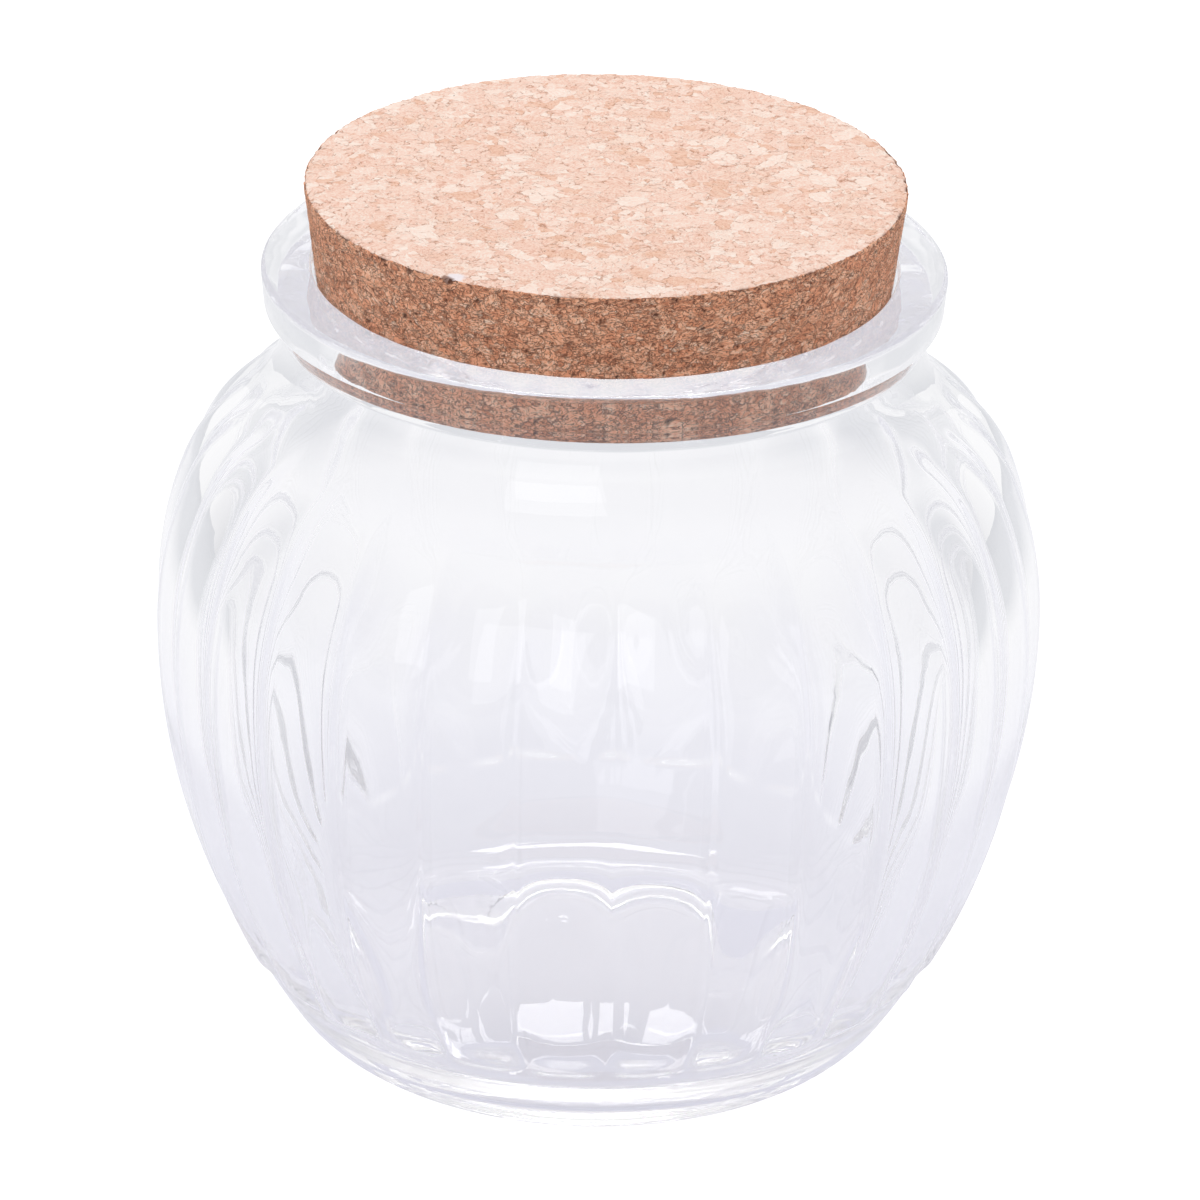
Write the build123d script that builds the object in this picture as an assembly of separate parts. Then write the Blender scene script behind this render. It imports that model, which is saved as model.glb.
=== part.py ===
from build123d import *
import math
import os

# A round glass storage jar with upright lobes all the way round, and the tapered cork that
# closes its mouth. Lengths are in millimetres and angles in degrees. The origin is on the
# jar's axis, in the plane that the jar stands on, with +Z up.

# The jar's wall, an outline that is turned about the axis and measured over the lobes
belly_radius = 65.0
belly_height = 67.0
upper_belly_radius = 60.0
upper_belly_turn = 20.5
lower_belly_radius = 110.0
shoulder_radius = 22.0
flare_radius = 14.2
heel_radius = 14.5
wall = 3.0

# The base
base_thickness = 6.0
inner_heel_radius = 16.0
foot_width = 4.5
punt_depth = 2.0

# The lobes, which start in a small step above the heel and fade out below the neck
lobe_count = 28
lobe_depth = 1.4
lobe_phase = 2.7
lobe_start_height = 15.0
lobe_step = 0.7
lobe_step_run = 1.9
lobe_end_share = 0.27
lobe_growth_share = 0.09
lobe_fade_share = 0.84
lobe_section_shares = (0.06, 0.12, 0.24, 0.38, 0.52, 0.64, 0.74, 0.82, 0.88, 0.93, 0.97, 1.0)

# The mouth, the neck and the rim
mouth_radius = 42.2
mouth_draft = 1.2
mouth_edge = 0.6
neck_wall = 5.75
neck_length = 1.8
rim_underside = 3.6
rim_band = 5.6
rim_overhang = 2.85
rim_draft = 0.5
rim_edge = 1.0

# The cork
cork_depth = 7.7
cork_stand = 12.4
cork_clearance = 0.3
cork_edge = 0.5

# How far a cut runs past the glass
overrun = 5.0


def at(centre, radius, turn):
    """The point at a radius from a centre, turned up from level."""
    angle = math.radians(turn)
    return (centre[0] + radius * math.cos(angle), centre[1] + radius * math.sin(angle))


def wall_arcs(inset, neck, flare, heel, floor):
    """One face of the wall from its floor to its neck: arcs of centre, radius, start, end.

    Start and end are turns about the centre. The flare's centre is outside the jar, so its
    radius is negative.
    """
    lower = lower_belly_radius - inset
    upper = upper_belly_radius - inset
    shoulder = shoulder_radius - inset
    lower_centre = (belly_radius - lower_belly_radius, belly_height)
    upper_centre = (belly_radius - upper_belly_radius, belly_height)
    heel_turn = -math.degrees(math.asin((belly_height - floor - heel) / (lower - heel)))
    heel_centre = at(lower_centre, lower - heel, heel_turn)
    shoulder_centre = at(upper_centre, upper - shoulder, upper_belly_turn)
    reach = shoulder + flare
    flare_turn = math.degrees(math.acos((neck + flare - shoulder_centre[0]) / reach))
    flare_centre = at(shoulder_centre, reach, flare_turn)
    return [
        (heel_centre, heel, -90, heel_turn),
        (lower_centre, lower, heel_turn, 0),
        (upper_centre, upper, 0, upper_belly_turn),
        (shoulder_centre, shoulder, upper_belly_turn, flare_turn),
        (flare_centre, -flare, flare_turn, 0),
    ]


def inset_arcs(arcs, inset):
    """The same outline, moved in by an equal distance everywhere."""
    return [(centre, radius - inset, start, end) for centre, radius, start, end in arcs]


def turn_at(arc, height):
    """The turn about its centre at which an arc passes a height."""
    return math.degrees(math.asin((height - arc[0][1]) / arc[1]))


def radius_at(arcs, height):
    """An outline's distance from the axis at a height."""
    for arc in arcs:
        centre, radius, start, end = arc
        if height <= at(centre, radius, end)[1]:
            break
    return at(centre, radius, turn_at(arc, height))[0]


def upright(*points):
    """Points of an outline, in the plane through the axis."""
    return [(point[0], 0, point[1]) for point in points]


def arc_edge(arc):
    """One arc of an outline as an edge."""
    centre, radius, start, end = arc
    middle = (start + end) / 2
    return ThreePointArc(*upright(*[at(centre, radius, turn) for turn in (start, middle, end)]))


def turned(*edges):
    """The solid that a closed outline sweeps about the axis."""
    return revolve(make_face(edges), Axis.Z)


# The faces of the glass, and the levels and radii that follow from them
bore_radius = mouth_radius - mouth_draft
neck_radius = bore_radius + neck_wall
rim_radius = neck_radius + rim_overhang
outer_arcs = wall_arcs(0, neck_radius, flare_radius, heel_radius, 0)
heel_arcs = wall_arcs(lobe_step, neck_radius, flare_radius, heel_radius, 0)
inner_arcs = wall_arcs(
    lobe_depth + wall, bore_radius, flare_radius + neck_wall, inner_heel_radius, base_thickness
)
neck_bottom = outer_arcs[-1][0][1]
flare_bottom = at(*outer_arcs[-1][:3])[1]
rim_bottom = neck_bottom + neck_length
band_bottom = rim_bottom + rim_underside
rim_top = band_bottom + rim_band
bore_bottom = inner_arcs[-1][0][1]
lobe_end_height = flare_bottom + lobe_end_share * (neck_bottom - flare_bottom)


def mouth_at(height):
    """The mouth's radius, which narrows evenly from the rim down to the bore's lower end."""
    return bore_radius + mouth_draft * (height - bore_bottom) / (rim_top - bore_bottom)


def smooth_share(value, low, high):
    """How far a value has come from low to high, easing in and out, from 0 to 1."""
    share = min(max((value - low) / (high - low), 0), 1)
    return share * share * (3 - 2 * share)


def lobe_height(share):
    """The height at a share of the lobes' length above their step."""
    step_top = lobe_start_height + lobe_step_run
    return step_top + share * (lobe_end_height - step_top)


def lobe_section(height):
    """A level cut through the lobes: one arc for each, meeting the next one in a groove."""
    step = 1 - smooth_share(height, lobe_start_height, lobe_height(0))
    growth = smooth_share(height, lobe_start_height, lobe_height(lobe_growth_share))
    fade = 1 - smooth_share(height, lobe_height(lobe_fade_share), lobe_end_height)
    groove_inset = (lobe_step + (lobe_depth - lobe_step) * growth) * fade
    crest = radius_at(inset_arcs(outer_arcs, lobe_step * step), height)
    groove = radius_at(inset_arcs(outer_arcs, groove_inset), height)
    pitch = 360 / lobe_count
    edges = []
    for lobe in range(lobe_count):
        start = lobe_phase - 90 + lobe * pitch
        places = ((groove, start), (crest, start + pitch / 2), (groove, start + pitch))
        edges.append(ThreePointArc(*[(*at((0, 0), radius, turn), height) for radius, turn in places]))
    return make_face(edges)


def lobed_body():
    """The glass from the step above the heel to where the lobes fade out, still solid."""
    step = [lobe_section(lobe_start_height), lobe_section(lobe_height(0))]
    rest = [lobe_section(lobe_height(share)) for share in (0, *lobe_section_shares)]
    return loft(step, ruled=True) + loft(rest)


def heel_body():
    """The smooth heel and the foot ring below the lobes, still solid."""
    heel, lower = heel_arcs[:2]
    lower_part = (*lower[:3], turn_at(lower, lobe_start_height))
    top = at(*lower[:2], lower_part[3])
    foot_inner = (heel[0][0] - foot_width, 0)
    punt_top = (0, punt_depth)
    return turned(
        arc_edge(heel),
        arc_edge(lower_part),
        Polyline(*upright(top, (0, lobe_start_height), punt_top)),
        TangentArc(*upright(punt_top, foot_inner), tangent=(1, 0, 0)),
        Line(*upright(foot_inner, (heel[0][0], 0))),
    )


def neck_and_rim():
    """The smooth top of the shoulder, the neck and the rim's bead, still solid."""
    flare = outer_arcs[-1]
    flare_part = (*flare[:2], turn_at(flare, lobe_end_height), 0)
    start = at(*flare_part[:3])
    corners = [
        (neck_radius, neck_bottom),
        (neck_radius, rim_bottom),
        (rim_radius - rim_draft, band_bottom),
        (rim_radius, rim_top),
        (0, rim_top),
    ]
    return turned(
        arc_edge(flare_part),
        FilletPolyline(*upright(*corners), radius=rim_edge),
        Polyline(*upright((0, rim_top), (0, lobe_end_height), start)),
    )


def cavity():
    """The space inside the jar, up through the mouth and out."""
    lip = (mouth_radius + mouth_edge, rim_top - mouth_edge)
    lip_low = (mouth_at(lip[1]), lip[1])
    lip_high = (lip[0], rim_top)
    floor = (inner_arcs[0][0][0], base_thickness)
    above = rim_top + overrun
    return turned(
        *[arc_edge(arc) for arc in inner_arcs],
        Line(*upright((bore_radius, bore_bottom), lip_low)),
        TangentArc(*upright(lip_high, lip_low), tangent=(-1, 0, 0)),
        Polyline(*upright(lip_high, (lip[0], above), (0, above), (0, base_thickness), floor)),
    )


def glass_jar():
    """The moulded glass body: lobed belly, smooth heel, foot ring, neck and rim in one piece."""
    return heel_body() + lobed_body() + neck_and_rim() - cavity()


def cork_lid():
    """The tapered cork, whose side keeps a small clearance to the mouth all the way down."""
    bottom = rim_top - cork_depth
    top = rim_top + cork_stand
    corners = [
        (0, bottom),
        (mouth_at(bottom) - cork_clearance, bottom),
        (mouth_at(top) - cork_clearance, top),
        (0, top),
    ]
    side = FilletPolyline(*upright(*corners), radius=cork_edge)
    return turned(side, Line(*upright((0, top), (0, bottom))))


os.makedirs("parts", exist_ok=True)
export_step(glass_jar(), "parts/glass_jar.step")
export_step(cork_lid(), "parts/cork_lid.step")
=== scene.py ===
import math

import bpy
import numpy as np
from mathutils import Matrix, Vector, noise

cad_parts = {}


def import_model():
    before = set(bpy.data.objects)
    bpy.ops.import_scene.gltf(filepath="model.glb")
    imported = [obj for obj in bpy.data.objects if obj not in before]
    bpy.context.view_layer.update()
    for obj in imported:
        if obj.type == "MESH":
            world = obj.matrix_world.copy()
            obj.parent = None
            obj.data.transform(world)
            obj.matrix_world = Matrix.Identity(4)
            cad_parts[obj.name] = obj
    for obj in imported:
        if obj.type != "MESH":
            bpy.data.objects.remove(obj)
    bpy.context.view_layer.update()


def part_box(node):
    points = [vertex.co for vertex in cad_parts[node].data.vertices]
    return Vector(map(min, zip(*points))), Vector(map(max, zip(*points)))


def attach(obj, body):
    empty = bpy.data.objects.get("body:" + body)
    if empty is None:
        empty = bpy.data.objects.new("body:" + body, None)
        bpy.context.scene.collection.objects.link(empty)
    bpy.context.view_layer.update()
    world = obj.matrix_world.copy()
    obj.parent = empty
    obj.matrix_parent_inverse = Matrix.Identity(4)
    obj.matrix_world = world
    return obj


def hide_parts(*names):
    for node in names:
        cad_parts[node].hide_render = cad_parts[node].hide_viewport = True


# A lobed glass jar with a cork in its mouth, on a white floor. Lengths are in metres and
# angles in degrees. The jar's axis is the Z axis and the camera looks along +Y.

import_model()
cork_low, cork_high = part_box("cork_lid")
mm = 0.001

# The jar's wall: the same outline as the solid, turned about the axis
belly_radius = 65 * mm
belly_height = 67 * mm
upper_belly_radius = 60 * mm
upper_belly_turn = 20.5
lower_belly_radius = 110 * mm
shoulder_radius = 22 * mm
flare_radius = 14.2 * mm
heel_radius = 14.5 * mm
wall = 3 * mm

# The base
base_thickness = 6 * mm
inner_heel_radius = 16 * mm
foot_width = 4.5 * mm
punt_depth = 2 * mm
punt_flatness = 6
floor_dome = 1.2 * mm

# The lobes
lobe_count = 28
lobe_depth = 1.4 * mm
lobe_phase = 2.7
lobe_start_height = 15 * mm
lobe_step = 0.7 * mm
lobe_step_run = 1.9 * mm
lobe_end_share = 0.27
lobe_growth_share = 0.09
lobe_fade_share = 0.84
groove_softness_share = 0.16

# The inside of the wall: its lobes, as shares of the outer ones, and the glass's slight waves
inner_lobe_low_share = 0.5
inner_lobe_middle_share = 0.95
inner_lobe_high_share = 0.2
inner_lobe_start_height = 15 * mm
inner_lobe_full_height = 23 * mm
thick_heel_height = 40 * mm
thin_belly_height = 56 * mm
thin_wall_height = 72 * mm
thick_wall_height = 96 * mm
wall_wave_length = 22 * mm
wall_wave_depth = 0.2 * mm

# The mouth, the neck and the rim
mouth_radius = 42.2 * mm
mouth_draft = 1.2 * mm
mouth_edge = 0.6 * mm
neck_wall = 5.75 * mm
neck_length = 1.8 * mm
rim_underside = 3.6 * mm
rim_band = 5.6 * mm
rim_overhang = 2.85 * mm
rim_draft = 0.5 * mm
rim_edge = 1.0 * mm
mouth_wave_length = 3.5 * mm
mouth_wave_depth = 0.16 * mm

# How many steps each run of the jar's outline is cut into
punt_steps = 7
foot_steps = 3
heel_steps = 12
lower_heel_steps = 5
lobe_start_steps = 8
lower_belly_steps = 26
upper_steps = (12, 12, 16)
straight_steps = 2
corner_steps = 5
bore_steps = 9
inner_steps = (12, 10, 8, 24, 12)
floor_steps = 7

# The cork
cork_clearance = 0.3 * mm
cork_edge = 0.35 * mm
chip_turn = -120.5
chip_width = 2.8 * mm
chip_depth = 0.9 * mm
cork_columns = 640
cork_under_steps = 14
cork_edge_steps = 3
cork_side_steps = 48
cork_face_steps = 84

# The cork's relief: how large and how deep its cracks, lumps, pores and chips are
ragged_size = 0.8 * mm
ragged_share = 0.6
crack_grain = 1.7 * mm
crack_width_share = 0.09
fine_lump = 0.9 * mm
broad_lump = 5 * mm
pore_size = 0.75 * mm
pore_start = 0.3
pore_offset = Vector((7, 3, 5))
edge_chip_size = 1.6 * mm
edge_chip_start = 0.1
edge_chip_offset = Vector((1, 9, 4))
edge_chip_depth = 0.75 * mm
edge_reach = 0.9 * mm
face_crack_depth = 0.035 * mm
face_lump_depth = 0.02 * mm
face_pore_depth = 0.25 * mm
# How deep a pit on the faces lies where its colour is fully darkened: the cork's own dark pores, with
# painted shade in the pits and the chip
face_dark_depth = 0.12 * mm
side_crack_depth = 0.09 * mm
side_lump_depth = 0.09 * mm
side_pore_depth = 0.75 * mm
side_broad_depth = 0.05 * mm
# How deep a pit on the side lies where its colour is fully darkened: the cork's own dark pores, with
# painted shade in the pits and chipped edges
side_dark_depth = 0.42 * mm

# The glass's marks and ripples, drawn out along the axis
glass_mark = 9 * mm
glass_ripple = 7 * mm
glass_ripple_height = 0.015 * mm
drawn_shares = (1, 1, 0.25)

# The grains of both cork surfaces, pressed flat, and the fibres, turned in radians
pressed_shares = (1, 1, 1.6)
coarse_warp = 1.6 * mm
coarse_warp_reach = 1.3 * mm
fine_warp = 0.45 * mm
fine_warp_reach = 0.4 * mm
small_grain_share = 0.55
fibre_turns = (6.3, 6.3, 6.3)
fibre_shares = (0.17, 1, 1)
seam_width = 0.03 * mm

# The sanded faces of the cork
sanded_large_grain = 3 * mm
sanded_small_grain = 1.5 * mm
sanded_fibre = 0.3 * mm
sanded_lump = 0.8 * mm
sanded_patch = 6 * mm
sanded_gap = 1 * mm
sanded_seam_reach = 0.12 * mm
sanded_curl = 0.9 * mm
sanded_speck = 0.8 * mm
sanded_bump = 0.05 * mm
scar_offset = Vector((2.1 * mm, 1.3 * mm, 0.5 * mm))
scar_radius = 0.9 * mm
scar_reach = 1.8 * mm

# The cut side of the cork
cut_large_grain = 2.6 * mm
cut_small_grain = 1.2 * mm
cut_fibre = 0.34 * mm
cut_lump = 1 * mm
cut_gap = 0.9 * mm
cut_stroke = 0.62 * mm
cut_hook = 0.5 * mm
cut_seam_reach = 0.15 * mm
cut_bump = 0.16 * mm

# The camera, whose lens gives the frame a focal length in pixels
camera_distance = 1.1
camera_elevation = 25.02
camera_roll = 1.16
camera_target = Vector((0.31 * mm, 0, 67.4 * mm))
focal_pixels = 7479
frame_pixels = 1200
sensor_width = 36

# How often light may bounce, so that no path in the glass ends black
glass_bounces = 160

# The floor, and how far from the jar its tone in the glass changes, out from a painted shadow near
# the jar
floor_size = 12
floor_ramp_reach = 0.5

# The lamps: place, target, width, height and power in watts
lamps = {
    "overhead": ((0, 0.45, 1.15), (0, 0, 0.1), 0.6, 0.17, 2.8),
    "window": ((0, 1.9, 1.33), (0, 0, 0.05), 0.5, 0.12, 0.56),
    "front": ((-0.5, -1.8, 0.8), (0, 0, 0.1), 1.1, 1.2, 3.5),
}


def at(centre, radius, turn):
    """The point at a radius from a centre, turned up from level."""
    angle = math.radians(turn)
    return (centre[0] + radius * math.cos(angle), centre[1] + radius * math.sin(angle))


def wall_arcs(inset, neck, flare, heel, floor):
    """One face of the wall from its floor to its neck: arcs of centre, radius, start, end."""
    lower = lower_belly_radius - inset
    upper = upper_belly_radius - inset
    shoulder = shoulder_radius - inset
    lower_centre = (belly_radius - lower_belly_radius, belly_height)
    upper_centre = (belly_radius - upper_belly_radius, belly_height)
    heel_turn = -math.degrees(math.asin((belly_height - floor - heel) / (lower - heel)))
    heel_centre = at(lower_centre, lower - heel, heel_turn)
    shoulder_centre = at(upper_centre, upper - shoulder, upper_belly_turn)
    reach = shoulder + flare
    flare_turn = math.degrees(math.acos((neck + flare - shoulder_centre[0]) / reach))
    flare_centre = at(shoulder_centre, reach, flare_turn)
    return [
        (heel_centre, heel, -90, heel_turn),
        (lower_centre, lower, heel_turn, 0),
        (upper_centre, upper, 0, upper_belly_turn),
        (shoulder_centre, shoulder, upper_belly_turn, flare_turn),
        (flare_centre, -flare, flare_turn, 0),
    ]


bore_radius = mouth_radius - mouth_draft
neck_radius = bore_radius + neck_wall
rim_radius = neck_radius + rim_overhang
outer_arcs = wall_arcs(0, neck_radius, flare_radius, heel_radius, 0)
heel_arcs = wall_arcs(lobe_step, neck_radius, flare_radius, heel_radius, 0)
inner_arcs = wall_arcs(
    lobe_depth + wall, bore_radius, flare_radius + neck_wall, inner_heel_radius, base_thickness
)
neck_bottom = outer_arcs[-1][0][1]
flare_bottom = at(*outer_arcs[-1][:3])[1]
rim_bottom = neck_bottom + neck_length
band_bottom = rim_bottom + rim_underside
rim_top = band_bottom + rim_band
bore_bottom = inner_arcs[-1][0][1]
lobe_end_height = flare_bottom + lobe_end_share * (neck_bottom - flare_bottom)


def smooth_share(value, low, high):
    """How far a value has come from low to high, easing in and out, from 0 to 1."""
    share = np.clip((value - low) / (high - low), 0, 1)
    return share * share * (3 - 2 * share)


def lobe_height(share):
    """The height at a share of the lobes' length above their step."""
    step_top = lobe_start_height + lobe_step_run
    return step_top + share * (lobe_end_height - step_top)


class Outline:
    """The closed outline of the glass, as points with the normals to move them along."""

    def __init__(self):
        self.points = []
        self.normals = []
        self.faces = []

    def add(self, point, normal, face):
        self.points.append(point)
        self.normals.append(normal)
        self.faces.append(face)

    def arc(self, arc, count, face, inward=False):
        """Points along an arc, after its first. An inward arc's normal points to its centre."""
        centre, radius, start, end = arc
        sign = -1 if inward else 1
        for step in range(1, count + 1):
            turn = start + (end - start) * step / count
            angle = math.radians(turn)
            self.add(at(centre, radius, turn), (sign * math.cos(angle), sign * math.sin(angle)), face)

    def line(self, start, end, count, face):
        """Points along a straight run, after its first, with the normal on its right-hand side."""
        along = (end[0] - start[0], end[1] - start[1])
        length = math.hypot(*along)
        normal = (along[1] / length, -along[0] / length)
        for step in range(1, count + 1):
            share = step / count
            self.add((start[0] + along[0] * share, start[1] + along[1] * share), normal, face)


def corner_arc(before, corner, after, radius):
    """The arc that rounds a corner between two straight runs, as centre, radius, start, end."""
    into = Vector((before[0] - corner[0], before[1] - corner[1])).normalized()
    out = Vector((after[0] - corner[0], after[1] - corner[1])).normalized()
    half = into.angle(out) / 2
    middle = (into + out).normalized()
    centre = Vector(corner) + middle * (radius / math.sin(half))
    start = Vector(corner) + into * (radius / math.tan(half)) - centre
    end = Vector(corner) + out * (radius / math.tan(half)) - centre
    turns = [math.degrees(math.atan2(side[1], side[0])) for side in (start, end)]
    turns[1] = turns[0] + (turns[1] - turns[0] + 180) % 360 - 180
    return (tuple(centre), radius, turns[0], turns[1])


def jar_outline():
    """From under the base, round the heel, up the outside, over the rim and down the inside."""
    line = Outline()
    heel, lower = heel_arcs[:2]
    foot_outer = heel[0][0]
    foot_inner = foot_outer - foot_width
    line.add((0, punt_depth), (0, -1), "plain")
    for step in range(1, punt_steps + 1):
        share = step / punt_steps
        line.add((foot_inner * share, punt_depth * (1 - share**punt_flatness)), (0, -1), "plain")
    line.line((foot_inner, 0), (foot_outer, 0), foot_steps, "plain")
    line.arc(heel, heel_steps, "plain")
    start_turn = math.degrees(math.asin((lobe_start_height - lower[0][1]) / lower[1]))
    line.arc((*lower[:3], start_turn), lower_heel_steps, "plain")
    centre, radius = outer_arcs[1][:2]
    step_top = math.degrees(math.asin((lobe_height(0) - centre[1]) / radius))
    start_turn = math.degrees(math.asin((lobe_start_height - centre[1]) / radius))
    line.arc((centre, radius, start_turn, step_top), lobe_start_steps, "outer")
    line.arc((centre, radius, step_top, 0), lower_belly_steps, "outer")
    for arc, count in zip(outer_arcs[2:], upper_steps):
        line.arc(arc, count, "outer")
    corners = [
        (neck_radius, neck_bottom),
        (neck_radius, rim_bottom),
        (rim_radius - rim_draft, band_bottom),
        (rim_radius, rim_top),
        (mouth_radius, rim_top),
        (bore_radius, bore_bottom),
    ]
    edges = [rim_edge, rim_edge, rim_edge, mouth_edge]
    last = corners[0]
    for index, edge in enumerate(edges):
        arc = corner_arc(corners[index], corners[index + 1], corners[index + 2], edge)
        start = at(*arc[:3])
        line.line(last, start, straight_steps, "plain")
        concave = index == 0
        line.arc(arc, corner_steps, "plain", inward=concave)
        last = at(arc[0], arc[1], arc[3])
    line.line(last, corners[-1], bore_steps, "plain")
    for arc, count in zip(reversed(inner_arcs), inner_steps):
        centre, radius, start, end = arc
        line.arc((centre, radius, end, start), count, "inner", inward=True)
    floor_radius = inner_arcs[0][0][0]
    for step in range(floor_steps - 1, -1, -1):
        share = step / floor_steps
        height = base_thickness + floor_dome * (1 - share**2) ** 2
        line.add((floor_radius * share, height), (0, 1), "plain")
    return line


def lobe_columns():
    """The turns of the mesh's columns, closer near the grooves, and how deep each lies."""
    shares = np.array([0, 0.025, 0.06, 0.13, 0.24, 0.38, 0.56, 0.78, 1.0])
    soft = groove_softness_share
    rise = (np.sqrt(shares**2 + soft**2) - soft) / (math.sqrt(1 + soft**2) - soft)
    depth = (1 - rise) ** 2
    pitch = 360 / lobe_count
    turns = []
    depths = []
    for lobe in range(lobe_count):
        start = lobe_phase - 90 + lobe * pitch
        turns.extend(start + shares * pitch / 2)
        depths.extend(depth)
        turns.extend(start + pitch - shares[-2:0:-1] * pitch / 2)
        depths.extend(depth[-2:0:-1])
    return np.radians(np.array(turns)), np.array(depths)


def mesh_piece(name, vertices, faces, slot, body, *nodes):
    """A smooth-shaded piece that stands for CAD nodes and rides on a body."""
    mesh = bpy.data.meshes.new(name)
    mesh.from_pydata([tuple(vertex) for vertex in vertices], [], faces)
    mesh.polygons.foreach_set("use_smooth", np.ones(len(mesh.polygons), dtype=bool))
    mesh.update()
    piece = bpy.data.objects.new(name, mesh)
    bpy.context.scene.collection.objects.link(piece)
    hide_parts(*nodes)
    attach(piece, body)
    return piece


def closed_faces(rings, columns):
    """Quads between rings that follow each other, and a fan to the point at either end."""
    last = 1 + rings * columns
    top = last - columns
    faces = []
    for ring in range(rings - 1):
        low = 1 + ring * columns
        for column in range(columns):
            after = (column + 1) % columns
            faces.append((low + column, low + after, low + columns + after, low + columns + column))
    for column in range(columns):
        after = (column + 1) % columns
        faces.append((0, 1 + after, 1 + column))
        faces.append((last, top + column, top + after))
    return faces


def waves(point, turns, length, depth):
    """How far the glass's free face sinks below the moulded shape, round one ring."""
    radius, height = point
    circle = zip(radius * np.cos(turns), radius * np.sin(turns))
    lumps = [noise.noise(Vector((x, y, height)) / length) for x, y in circle]
    return (np.array(lumps) + 1) / 2 * depth


def glass_jar():
    """The whole glass body as one closed skin: outside, rim, inside and base."""
    line = jar_outline()
    turns, depths = lobe_columns()
    columns = len(turns)
    points = np.array(line.points)
    normals = np.array(line.normals)
    outer = np.array(line.faces) == "outer"
    inner = np.array(line.faces) == "inner"
    heights = points[:, 1]
    inside = normals[:, 0] < 0
    step = 1 - smooth_share(heights, lobe_start_height, lobe_height(0))
    growth = smooth_share(heights, lobe_start_height, lobe_height(lobe_growth_share))
    fade = 1 - smooth_share(heights, lobe_height(lobe_fade_share), lobe_end_height)
    crest_inset = np.where(outer, lobe_step * step, 0)
    inner_growth = smooth_share(heights, inner_lobe_start_height, inner_lobe_full_height)
    thickening = smooth_share(heights, thin_wall_height, thick_wall_height)
    thinning = smooth_share(heights, thick_heel_height, thin_belly_height)
    inner_share = inner_lobe_low_share + (inner_lobe_middle_share - inner_lobe_low_share) * thinning
    inner_share += (inner_lobe_high_share - inner_share) * thickening
    crest_inset += np.where(inner, inner_share * lobe_depth * inner_growth * fade, 0)
    groove_inset = np.where(outer, (lobe_step + (lobe_depth - lobe_step) * growth) * fade, 0)
    in_mouth = inside & (heights > bore_bottom)
    is_rim_top = heights >= rim_top - mouth_edge
    rings = range(1, len(points) - 1)
    vertices = [(0, 0, points[0, 1])]
    for ring in rings:
        inset = crest_inset[ring] + (groove_inset[ring] - crest_inset[ring]) * depths
        if in_mouth[ring] or is_rim_top[ring]:
            inset = inset + waves(points[ring], turns, mouth_wave_length, mouth_wave_depth)
        elif inside[ring]:
            inset = inset + waves(points[ring], turns, wall_wave_length, wall_wave_depth)
        radius = points[ring, 0] - normals[ring, 0] * inset
        height = points[ring, 1] - normals[ring, 1] * inset
        ring_points = np.stack([radius * np.cos(turns), radius * np.sin(turns), height], axis=1)
        vertices.extend(ring_points)
    vertices.append((0, 0, points[-1, 1]))
    faces = closed_faces(len(rings), columns)
    jar = mesh_piece("glass_jar_body", vertices, faces, "clear_glass", "jar", "glass_jar")
    jar.data.materials.append(glass_material())
    # The renderer would shade the cork in the mouth as if the glass let no light through
    jar.visible_shadow = False


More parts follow.
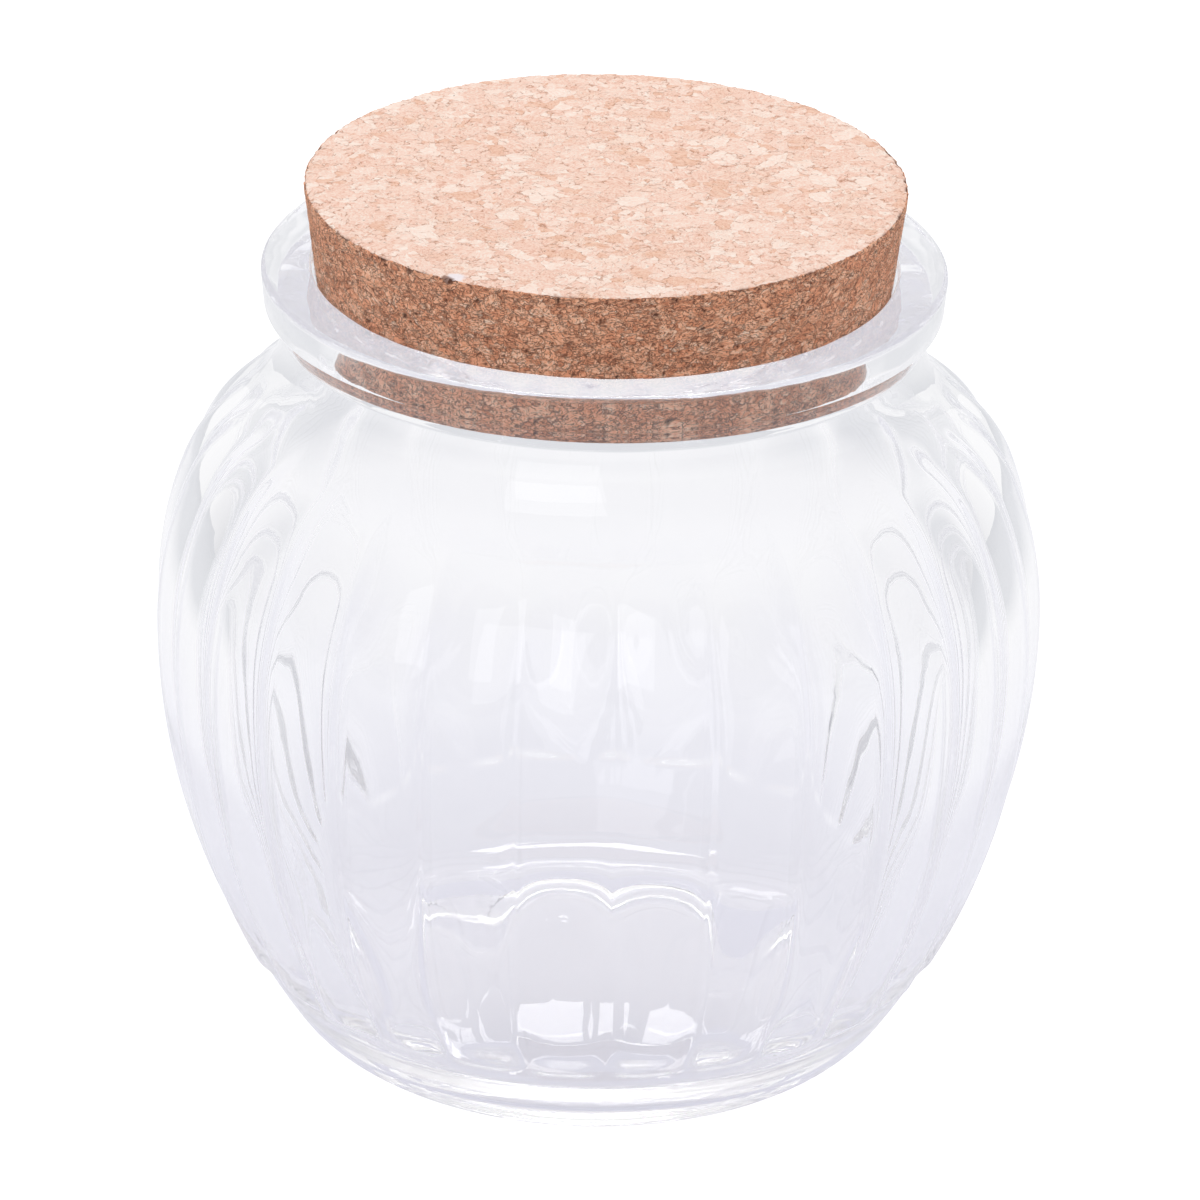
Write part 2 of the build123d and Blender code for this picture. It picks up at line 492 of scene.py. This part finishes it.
class Nodes:
    """Builds the nodes of a material or of the world. Places are in metres."""

    def __init__(self, owner, place_kind="Object"):
        owner.use_nodes = True
        self.tree = owner.node_tree
        self.place = self.add("TexCoord").outputs[place_kind]

    def add(self, kind, **settings):
        node = self.tree.nodes.new("ShaderNode" + kind)
        for key, value in settings.items():
            setattr(node, key, value)
        return node

    def feed(self, socket, value):
        """Give a socket a plain value, or link another node's output to it."""
        if isinstance(value, bpy.types.NodeSocket):
            self.tree.links.new(value, socket)
        else:
            socket.default_value = value

    def maths(self, operation, first, second=0.0):
        node = self.add("Math", operation=operation)
        self.feed(node.inputs[0], first)
        self.feed(node.inputs[1], second)
        return node.outputs[0]

    def ranged(self, value, low, high, to_low=0.0, to_high=1.0, smooth=True):
        node = self.add("MapRange", interpolation_type="SMOOTHSTEP" if smooth else "LINEAR")
        for socket, number in zip(node.inputs, (value, low, high, to_low, to_high)):
            self.feed(socket, number)
        return node.outputs["Result"]

    def mix(self, share, first, second):
        node = self.add("Mix", data_type="RGBA")
        self.feed(node.inputs["Factor"], share)
        self.feed(node.inputs["A"], first)
        self.feed(node.inputs["B"], second)
        return node.outputs["Result"]

    def ramp(self, value, stops):
        """A colour that follows a value, through stops of share and colour."""
        node = self.add("ValToRGB")
        elements = node.color_ramp.elements
        while len(elements) < len(stops):
            elements.new(1)
        for element, (share, colour) in zip(elements, stops):
            element.position = share
            element.color = (*colour, 1)
        self.feed(node.inputs["Fac"], value)
        return node.outputs["Color"]

    def noise(self, size, place, detail=2.0, roughness=0.5):
        """Smooth noise whose lumps are about as large as a size."""
        node = self.add("TexNoise")
        node.inputs["Scale"].default_value = 1 / size
        node.inputs["Detail"].default_value = detail
        node.inputs["Roughness"].default_value = roughness
        self.feed(node.inputs["Vector"], place)
        return node

    def warped(self, place, size, reach):
        """A place, moved about by noise of a size, by up to half of a reach."""
        lumps = self.noise(size, place).outputs["Color"]
        node = self.add("VectorMath", operation="MULTIPLY_ADD")
        self.feed(node.inputs[0], lumps)
        self.feed(node.inputs[1], (reach, reach, reach))
        self.feed(node.inputs[2], place)
        return node.outputs[0]

    def stretched(self, place, shares):
        """A place squeezed along its axes, so that noise comes out longer along them."""
        node = self.add("VectorMath", operation="MULTIPLY")
        self.feed(node.inputs[0], place)
        self.feed(node.inputs[1], shares)
        return node.outputs[0]

    def cells(self, size, place, feature="F1"):
        node = self.add("TexVoronoi", feature=feature)
        node.inputs["Scale"].default_value = 1 / size
        self.feed(node.inputs["Vector"], place)
        return node

    def split(self, colour):
        node = self.add("SeparateColor")
        self.feed(node.inputs[0], colour)
        return node.outputs

    def cell_numbers(self, cells):
        """Three numbers from 0 to 1 that each cell draws for itself."""
        return self.split(cells.outputs["Color"])

    def total(self, *parts):
        """The sum of values, each times its share."""
        result = None
        for value, share in parts:
            part = self.maths("MULTIPLY", value, share)
            result = part if result is None else self.maths("ADD", result, part)
        return result

    def contour(self, value, width):
        """1 along the line where a noise passes its middle, easing to 0 at a width."""
        away = self.maths("ABSOLUTE", self.maths("SUBTRACT", value, 0.5))
        return self.ranged(away, 0.0, width, 1.0, 0.0)

    def bump(self, height, distance, strength):
        node = self.add("Bump")
        node.inputs["Strength"].default_value = strength
        node.inputs["Distance"].default_value = distance
        self.feed(node.inputs["Height"], height)
        return node.outputs["Normal"]


def new_material(name):
    """A material with its nodes' builder and its shader's sockets."""
    material = bpy.data.materials.new(name)
    nodes = Nodes(material)
    return material, nodes, nodes.tree.nodes["Principled BSDF"].inputs


def glass_material():
    """Clear glass, with the slight waviness and faint marks of moulded ware."""
    material, nodes, shader = new_material("clear glass")
    shader["Base Color"].default_value = (1, 1, 1, 1)
    shader["Transmission Weight"].default_value = 1
    shader["IOR"].default_value = 1.5
    drawn = nodes.stretched(nodes.place, drawn_shares)
    marks = nodes.noise(glass_mark, drawn, 3.0).outputs["Fac"]
    nodes.feed(shader["Roughness"], nodes.ranged(marks, 0.62, 0.8, 0.0, 0.03))
    ripples = nodes.noise(glass_ripple, drawn).outputs["Fac"]
    nodes.feed(shader["Normal"], nodes.bump(ripples, glass_ripple_height, 1.0))
    return material


class Grains:
    """Pressed cork grains, large among small: where each one is, its tone and its fibres."""

    def __init__(self, nodes, large_size, small_size):
        pressed = nodes.stretched(nodes.place, pressed_shares)
        coarse = nodes.warped(pressed, coarse_warp, coarse_warp_reach)
        self.place = nodes.warped(coarse, fine_warp, fine_warp_reach)
        large = nodes.cells(large_size, self.place)
        small = nodes.cells(small_size, self.place)
        is_large = nodes.maths("GREATER_THAN", nodes.cell_numbers(large)["Red"], small_grain_share)
        number = nodes.mix(is_large, small.outputs["Color"], large.outputs["Color"])
        self.tone = nodes.split(number)["Green"]
        large_edge = nodes.cells(large_size, self.place, "DISTANCE_TO_EDGE").outputs["Distance"]
        small_edge = nodes.cells(small_size, self.place, "DISTANCE_TO_EDGE").outputs["Distance"]
        large_edge = nodes.maths("MULTIPLY", large_edge, large_size)
        small_edge = nodes.maths("MULTIPLY", small_edge, small_size)
        self.edge = nodes.ranged(is_large, 0.0, 1.0, small_edge, large_edge, smooth=False)
        turned = nodes.add("VectorRotate", rotation_type="EULER_XYZ")
        nodes.feed(turned.inputs["Vector"], self.place)
        nodes.feed(turned.inputs["Rotation"], nodes.stretched(number, fibre_turns))
        self.along = nodes.stretched(turned.outputs[0], fibre_shares)


def sanded_cork():
    """The flat faces: pale sanded grains with soft fibres, thin broken seams and small specks."""
    material, nodes, shader = new_material("sanded cork")
    grains = Grains(nodes, sanded_large_grain, sanded_small_grain)
    fibres = nodes.noise(sanded_fibre, grains.along, 3.0, 0.6).outputs["Fac"]
    lumps = nodes.noise(sanded_lump, grains.place, 4.0, 0.6).outputs["Fac"]
    tone = nodes.total((grains.tone, 0.21), (fibres, 1.0), (lumps, 0.35))
    colour = nodes.ramp(nodes.ranged(tone, 0.48, 1.02, smooth=False), [
        (0.0, (0.68, 0.35, 0.24)),
        (0.3, (0.86, 0.55, 0.43)),
        (0.55, (0.91, 0.66, 0.55)),
        (0.8, (0.93, 0.74, 0.64)),
        (1.0, (0.95, 0.83, 0.75)),
    ])
    patches = nodes.noise(sanded_patch, nodes.place, 4.0).outputs["Fac"]
    colour = nodes.mix(nodes.ranged(patches, 0.52, 0.72, 0.0, 0.22), colour, (0.90, 0.58, 0.40, 1))
    pale = nodes.maths("MULTIPLY", nodes.maths("GREATER_THAN", grains.tone, 0.86), 0.26)
    colour = nodes.mix(pale, colour, (0.99, 0.88, 0.79, 1))
    rusty = nodes.maths("LESS_THAN", grains.tone, 0.08)
    colour = nodes.mix(nodes.maths("MULTIPLY", rusty, 0.25), colour, (0.80, 0.45, 0.27, 1))
    broken = nodes.noise(sanded_gap, nodes.place, 2.0).outputs["Fac"]
    seam = nodes.ranged(grains.edge, seam_width, sanded_seam_reach, 1.0, 0.0)
    seam = nodes.maths("MULTIPLY", seam, nodes.ranged(broken, 0.46, 0.64))
    curl = nodes.contour(nodes.noise(sanded_curl, grains.along, 1.0).outputs["Fac"], 0.018)
    curl = nodes.maths("MULTIPLY", curl, nodes.ranged(broken, 0.5, 0.62, 1.0, 0.0))
    curl = nodes.maths("MULTIPLY", curl, nodes.ranged(patches, 0.44, 0.6))
    lines = nodes.maths("MAXIMUM", seam, curl)
    colour = nodes.mix(nodes.maths("MULTIPLY", lines, 0.75), colour, (0.48, 0.22, 0.13, 1))
    specks = nodes.cells(sanded_speck, grains.place)
    chosen = nodes.maths("GREATER_THAN", nodes.cell_numbers(specks)["Blue"], 0.94)
    spot = nodes.ranged(specks.outputs["Distance"], 0.12, 0.32, 1.0, 0.0)
    spot = nodes.maths("MULTIPLY", chosen, spot)
    colour = nodes.mix(nodes.maths("MULTIPLY", spot, 0.7), colour, (0.26, 0.11, 0.07, 1))
    scar = nodes.add("VectorMath", operation="DISTANCE")
    nodes.feed(scar.inputs[0], nodes.warped(nodes.place, coarse_warp, coarse_warp_reach))
    nodes.feed(scar.inputs[1], chip_place + scar_offset)
    bare = nodes.ranged(scar.outputs["Value"], scar_radius, scar_reach, 0.9, 0.0)
    colour = nodes.mix(bare, colour, (0.90, 0.84, 0.87, 1))
    # Darker by the depth of the relief: the cork's own dark pores, with painted shade in the deeper
    # pits and the chip
    pore_and_pit_shade = nodes.add("Attribute", attribute_name="pore_and_pit_shade").outputs["Fac"]
    colour = nodes.mix(nodes.ranged(pore_and_pit_shade, 0.35, 1.0, 0.0, 0.85), colour, (0.24, 0.11, 0.07, 1))
    nodes.feed(shader["Base Color"], colour)
    nodes.feed(shader["Roughness"], nodes.ranged(lumps, 0.3, 0.7, 0.72, 0.92))
    shader["Specular IOR Level"].default_value = 0.25
    height = nodes.maths("SUBTRACT", fibres, lines)
    nodes.feed(shader["Normal"], nodes.bump(height, sanded_bump, 0.6))
    return material


def cut_cork():
    """The side: brown cut grains whose torn cell walls make fine dark strokes."""
    material, nodes, shader = new_material("cut cork")
    grains = Grains(nodes, cut_large_grain, cut_small_grain)
    fibres = nodes.noise(cut_fibre, grains.along, 4.0, 0.65).outputs["Fac"]
    lumps = nodes.noise(cut_lump, grains.place, 5.0, 0.65).outputs["Fac"]
    tone = nodes.total((grains.tone, 0.28), (fibres, 0.9), (lumps, 0.6))
    colour = nodes.ramp(nodes.ranged(tone, 0.5, 1.2, smooth=False), [
        (0.0, (0.36, 0.13, 0.07)),
        (0.3, (0.70, 0.28, 0.155)),
        (0.55, (0.91, 0.44, 0.265)),
        (0.8, (0.96, 0.58, 0.40)),
        (1.0, (0.97, 0.75, 0.60)),
    ])
    broken = nodes.noise(cut_gap, nodes.place, 2.0).outputs["Fac"]
    stroke = nodes.contour(nodes.noise(cut_stroke, grains.along, 1.5).outputs["Fac"], 0.05)
    stroke = nodes.maths("MULTIPLY", stroke, nodes.ranged(broken, 0.30, 0.46))
    hook = nodes.contour(nodes.noise(cut_hook, grains.place, 1.0).outputs["Fac"], 0.05)
    hook = nodes.maths("MULTIPLY", hook, nodes.ranged(broken, 0.36, 0.48, 1.0, 0.0))
    seam = nodes.ranged(grains.edge, seam_width, cut_seam_reach, 1.0, 0.0)
    seam = nodes.maths("MULTIPLY", seam, nodes.ranged(lumps, 0.4, 0.6))
    lines = nodes.maths("MAXIMUM", nodes.maths("MAXIMUM", stroke, hook), seam)
    colour = nodes.mix(nodes.maths("MULTIPLY", lines, 0.85), colour, (0.15, 0.05, 0.03, 1))
    # Darker by the depth of the relief: the cork's own dark pores, with painted shade in the deeper
    # pits and the chipped edges
    pore_and_pit_shade = nodes.add("Attribute", attribute_name="pore_and_pit_shade").outputs["Fac"]
    colour = nodes.mix(nodes.ranged(pore_and_pit_shade, 0.4, 1.0, 0.0, 0.9), colour, (0.10, 0.035, 0.022, 1))
    nodes.feed(shader["Base Color"], colour)
    nodes.feed(shader["Roughness"], nodes.ranged(lumps, 0.3, 0.7, 0.8, 0.98))
    shader["Specular IOR Level"].default_value = 0.2
    shader["Sheen Weight"].default_value = 0.17
    shader["Sheen Roughness"].default_value = 0.45
    shader["Sheen Tint"].default_value = (1, 0.82, 0.7, 1)
    height = nodes.maths("SUBTRACT", nodes.total((fibres, 1.0), (lumps, 0.6)), lines)
    nodes.feed(shader["Normal"], nodes.bump(height, cut_bump, 0.8))
    return material


def look_at(location, target):
    """The turn of a lamp that points it from one place to another."""
    return (Vector(target) - Vector(location)).to_track_quat("-Z", "Y").to_euler()


def area_light(name, location, target, width, height, power):
    """A white rectangular lamp that shows only in the glass, never straight."""
    data = bpy.data.lights.new(name, "AREA")
    data.shape = "RECTANGLE"
    data.size = width
    data.size_y = height
    data.energy = power
    lamp = bpy.data.objects.new(name, data)
    lamp.location = location
    lamp.rotation_euler = look_at(location, target)
    lamp.visible_camera = False
    bpy.context.scene.collection.objects.link(lamp)


def camera():
    """The photograph's view: from the front, about 25 degrees down, turned a little."""
    elevation = math.radians(camera_elevation)
    roll = math.radians(camera_roll)
    forward = Vector((0, math.cos(elevation), -math.sin(elevation)))
    right = Vector((1, 0, 0))
    up = right.cross(forward)
    data = bpy.data.cameras.new("camera")
    data.sensor_fit = "HORIZONTAL"
    data.sensor_width = sensor_width
    data.lens = focal_pixels / frame_pixels * sensor_width
    view = bpy.data.objects.new("camera", data)
    x_axis = right * math.cos(roll) + up * math.sin(roll)
    y_axis = up * math.cos(roll) - right * math.sin(roll)
    rotation = Matrix((x_axis, y_axis, -forward)).transposed()
    place = camera_target - forward * camera_distance
    view.matrix_world = Matrix.Translation(place) @ rotation.to_4x4()
    bpy.context.scene.collection.objects.link(view)
    bpy.context.scene.camera = view


def white_floor():
    """A floor that is white where it is seen straight, and a little grey through the glass, darkest
    near the jar, where a shadow is painted.
    """
    half = floor_size / 2
    mesh = bpy.data.meshes.new("floor")
    corners = [(-half, -half, 0), (half, -half, 0), (half, half, 0), (-half, half, 0)]
    mesh.from_pydata(corners, [], [(0, 1, 2, 3)])
    floor = bpy.data.objects.new("floor", mesh)
    bpy.context.scene.collection.objects.link(floor)
    material, nodes, shader = new_material("white floor")
    shader["Base Color"].default_value = (0.3, 0.3, 0.3, 1)
    shader["Roughness"].default_value = 0.9
    shader["Specular IOR Level"].default_value = 0
    shader["Emission Strength"].default_value = 1
    distance = nodes.add("VectorMath", operation="LENGTH")
    nodes.feed(distance.inputs[0], nodes.place)
    away = nodes.ranged(distance.outputs["Value"], 0.0, floor_ramp_reach, smooth=False)
    # Through the glass the floor is darkest under and near the jar, a painted shadow, lightest a
    # little way off, and darker again far away
    through = nodes.ramp(away, [
        (0.0, (0.44, 0.435, 0.505)),
        (0.16, (0.54, 0.54, 0.61)),
        (0.25, (0.63, 0.63, 0.68)),
        (0.34, (0.64, 0.64, 0.67)),
        (0.5, (0.65, 0.65, 0.67)),
        (0.85, (0.46, 0.47, 0.50)),
    ])
    path = nodes.add("LightPath").outputs
    seen = nodes.mix(path["Is Camera Ray"], through, (0.88, 0.88, 0.88, 1))
    glow = nodes.mix(path["Is Diffuse Ray"], seen, (0.4, 0.4, 0.4, 1))
    nodes.feed(shader["Emission Color"], glow)
    mesh.materials.append(material)


def world():
    """White where it is seen straight. In the glass it is dimmer above, and dimmest in front."""
    surroundings = bpy.data.worlds.new("studio")
    bpy.context.scene.world = surroundings
    nodes = Nodes(surroundings, "Generated")
    direction = nodes.add("SeparateXYZ")
    nodes.feed(direction.inputs[0], nodes.place)
    behind = nodes.ranged(direction.outputs["Y"], 0.0, 0.9)
    above = nodes.ranged(direction.outputs["Z"], 0.55, 0.95)
    front = nodes.mix(above, (0.47, 0.47, 0.52, 1), (0.85, 0.85, 0.87, 1))
    glass = nodes.mix(behind, front, (0.97, 0.97, 0.98, 1))
    path = nodes.add("LightPath").outputs
    seen = nodes.mix(path["Is Camera Ray"], glass, (1, 1, 1, 1))
    beside = nodes.ranged(nodes.maths("ABSOLUTE", direction.outputs["X"]), 0.35, 0.9)
    lighting = nodes.mix(beside, (0.66, 0.66, 0.66, 1), (1.25, 1.25, 1.25, 1))
    colour = nodes.mix(path["Is Diffuse Ray"], seen, lighting)
    nodes.feed(nodes.tree.nodes["Background"].inputs["Color"], colour)


def cork_radius(level):
    """The cork's radius at a height, which keeps its clearance to the tapered mouth."""
    slope = mouth_draft / (rim_top - bore_bottom)
    return mouth_radius + (level - rim_top) * slope - cork_clearance


# The middle of the one large chip, on the cork's upper edge
chip_place = Vector((*at((0, 0), cork_radius(cork_high[2]), chip_turn), cork_high[2]))


def cork_outline():
    """From the middle of the underside out, up the tapered side and back in over the top."""
    low, high = cork_low[2], cork_high[2]
    radii = [cork_radius(level) for level in (low, high)]
    line = Outline()
    line.add((0, low), (0, -1), "under")
    corners = [(0, low), (radii[0], low), (radii[1], high), (0, high)]
    under_edge = corner_arc(*corners[:3], cork_edge)
    top_edge = corner_arc(*corners[1:], cork_edge)
    line.line((0, low), at(*under_edge[:3]), cork_under_steps, "under")
    line.arc(under_edge, cork_edge_steps, "side")
    line.line(at(*under_edge[:2], under_edge[3]), at(*top_edge[:3]), cork_side_steps, "side")
    line.arc(top_edge, cork_edge_steps, "side")
    line.line(at(*top_edge[:2], top_edge[3]), (0, high), cork_face_steps, "face")
    return line


def cork_relief(place, side, edge):
    """How deep the cork's surface lies at a place: pits between grains, pores and chips."""
    ragged = 1 + ragged_share * noise.noise(place / ragged_size)
    from_chip = (place - chip_place).length * ragged
    lost = chip_depth * float(smooth_share(from_chip, chip_width / 2, 0))
    grain = noise.voronoi(place / crack_grain)[0]
    crack = math.exp(-(((grain[1] - grain[0]) / crack_width_share) ** 2))
    fine = noise.fractal(place / fine_lump, 1.0, 2.0, 3)
    broad = noise.noise(place / broad_lump)
    hole = max(0, noise.noise(place / pore_size + pore_offset) - pore_start)
    if not side:
        pore_and_pit_shade = face_pore_depth * hole * max(0, broad)
        return face_crack_depth * crack + face_lump_depth * max(0, fine) + pore_and_pit_shade + lost
    rough = side_crack_depth * crack + side_lump_depth * (fine + 0.6)
    rough += side_pore_depth * hole + side_broad_depth * (broad + 1)
    chip = max(0, noise.noise(place / edge_chip_size + edge_chip_offset) - edge_chip_start)
    return max(0, rough + edge * edge_chip_depth * chip) + lost


def cork_lid():
    """The tapered stopper of pressed cork grains, sanded on its faces and rough on its side."""
    line = cork_outline()
    turns = np.linspace(0, 2 * math.pi, cork_columns, endpoint=False)
    cosines, sines = np.cos(turns), np.sin(turns)
    low, high = cork_low[2], cork_high[2]
    last_ring = len(line.points) - 1
    vertices = [(0, 0, low)]
    pore_and_pit_shades = [0]
    for ring in range(1, last_ring):
        radius, height = line.points[ring]
        normal = line.normals[ring]
        side = line.faces[ring] == "side"
        near_edge = min(height - low, high - height)
        edge = max(0, 1 - near_edge / edge_reach) if side else 0
        dark_depth = side_dark_depth if side else face_dark_depth
        for cosine, sine in zip(cosines, sines):
            place = Vector((radius * cosine, radius * sine, height))
            depth = cork_relief(place, side, edge)
            reach = radius - normal[0] * depth
            vertices.append((reach * cosine, reach * sine, height - normal[1] * depth))
            # Each point's depth, as a share of the fully dark depth, later darkens its colour: dark
            # pores and painted pit shade
            pore_and_pit_shades.append(depth / dark_depth)
    vertices.append((0, 0, high))
    pore_and_pit_shades.append(0)
    faces = closed_faces(last_ring - 1, cork_columns)
    lid = mesh_piece("cork_stopper", vertices, faces, "agglomerated_cork", "lid", "cork_lid")
    # The depths go to the materials as an attribute: the cork's own dark pores and painted shade in
    # its pits
    pore_and_pit_shade = lid.data.attributes.new("pore_and_pit_shade", "FLOAT", "POINT")
    pore_and_pit_shade.data.foreach_set("value", np.clip(np.array(pore_and_pit_shades), 0, 1))
    lid.data.materials.append(sanded_cork())
    lid.data.materials.append(cut_cork())
    side_rings = [ring for ring in range(1, last_ring) if line.faces[ring] == "side"]
    first_side = (side_rings[0] - 2) * cork_columns
    last_side = (side_rings[-1] - 1) * cork_columns
    slots = np.zeros(len(lid.data.polygons), dtype=np.int32)
    slots[first_side:last_side] = 1
    lid.data.polygons.foreach_set("material_index", slots)


camera()
world()
white_floor()
for name, lamp in lamps.items():
    area_light(name, *lamp)
glass_jar()
cork_lid()

bpy.context.scene.view_settings.view_transform = "Standard"
bpy.context.scene.cycles.max_bounces = glass_bounces
bpy.context.scene.cycles.transmission_bounces = glass_bounces
bpy.context.scene.cycles.glossy_bounces = glass_bounces
